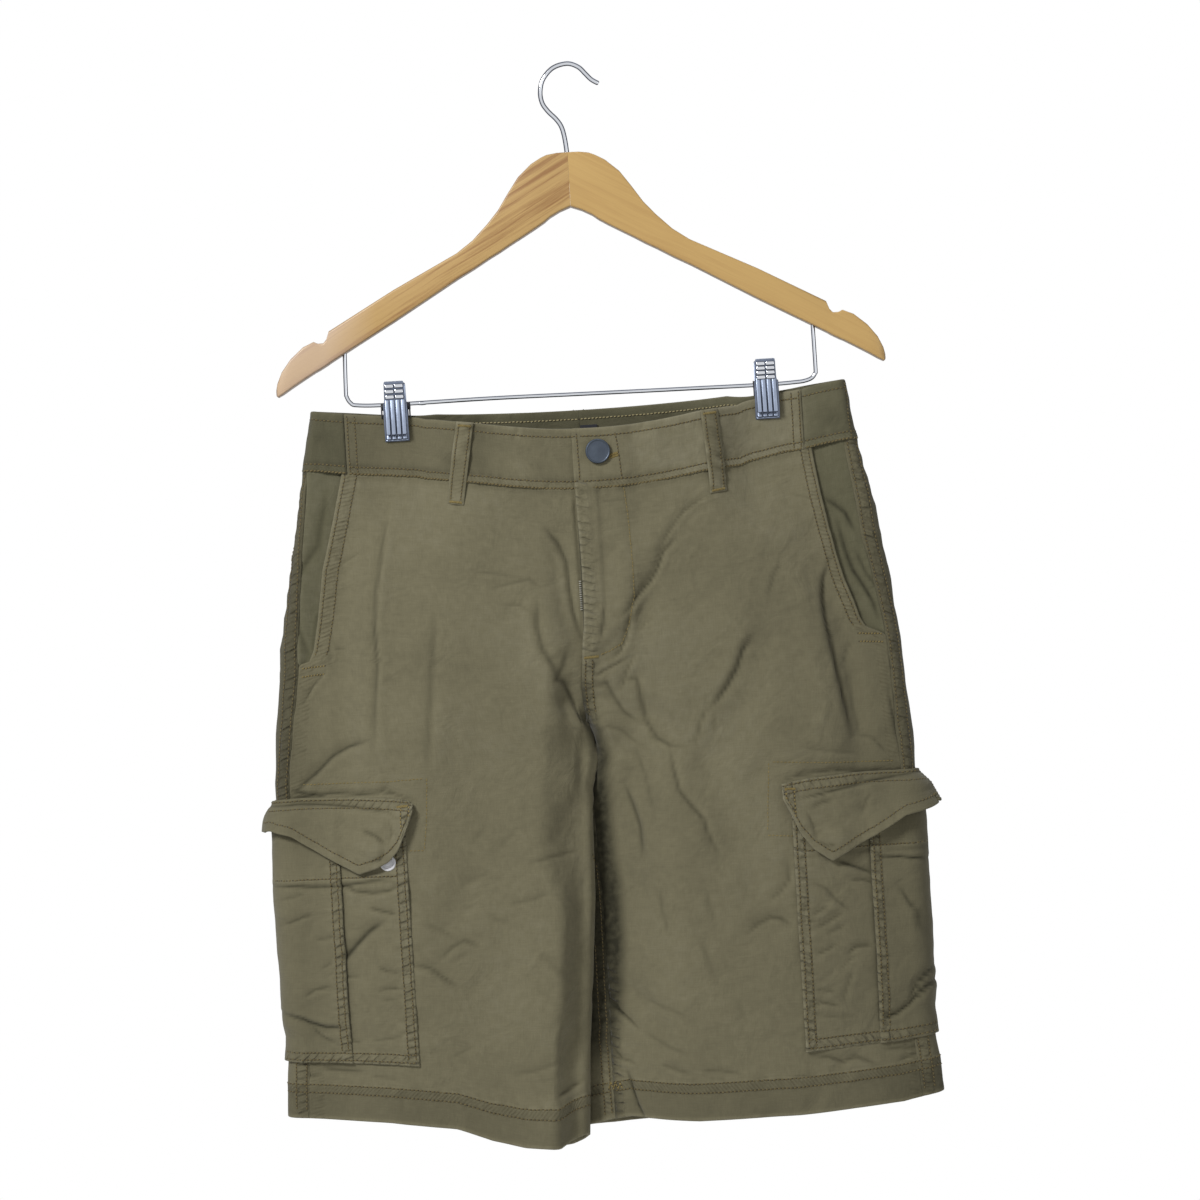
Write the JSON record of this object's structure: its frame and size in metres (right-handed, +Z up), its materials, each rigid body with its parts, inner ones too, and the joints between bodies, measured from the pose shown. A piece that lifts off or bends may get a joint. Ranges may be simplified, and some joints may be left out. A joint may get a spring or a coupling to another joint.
{
  "type": "cargo shorts on a clip hanger",
  "caption": "Knee-length cotton cargo shorts with slash pockets and pleated, flapped cargo pockets, held flat by the clips of a wooden hanger with a wire hook.",
  "frame": {"origin": "the inside top of the hook, where it bears on a rail", "axes": "+Z up, -Y the way the front of the shorts faces, +X to the wearer's left"},
  "size_m": [0.4969, 0.0689, 0.7913],
  "materials": {
    "cloth": "garment-washed cotton twill, matt with a faint lustre on the creases",
    "facing": "the same cotton twill, in the shade of the pocket mouth",
    "zip": "woven zip tape with pale teeth",
    "button": "dark gunmetal with a thin bright rim",
    "label": "bare dark woven tape",
    "snap": "white moulded plastic",
    "wood": "honey-coloured hardwood under satin varnish",
    "chrome": "bright plated steel"
  },
  "bodies": {
    "root": {"front_right": "cloth", "front_left": "cloth", "back_right": "cloth", "back_left": "cloth", "waistband_front_right": "cloth", "waistband_front_left": "cloth", "waistband_back": "cloth", "belt_loop_1": "cloth", "belt_loop_2": "cloth", "belt_loop_3": "cloth", "belt_loop_4": "cloth", "belt_loop_5": "cloth", "cargo_pocket_right": "cloth", "cargo_flap_right": "cloth", "cargo_pocket_left": "cloth", "cargo_flap_left": "cloth", "pocket_facing_right": "facing", "pocket_facing_left": "facing", "fly_zip": "zip", "waist_button": "button", "waist_label": "label", "snap_right": "snap", "snap_left": "snap", "hanger_arm_right": "wood", "hanger_arm_left": "wood", "hanger_hook": "chrome", "hanger_bar": "chrome", "clip_right_front": "chrome", "clip_right_back": "chrome", "clip_right_spring": "chrome", "clip_left_front": "chrome", "clip_left_back": "chrome", "clip_left_spring": "chrome"}
  },
  "joints": []
}
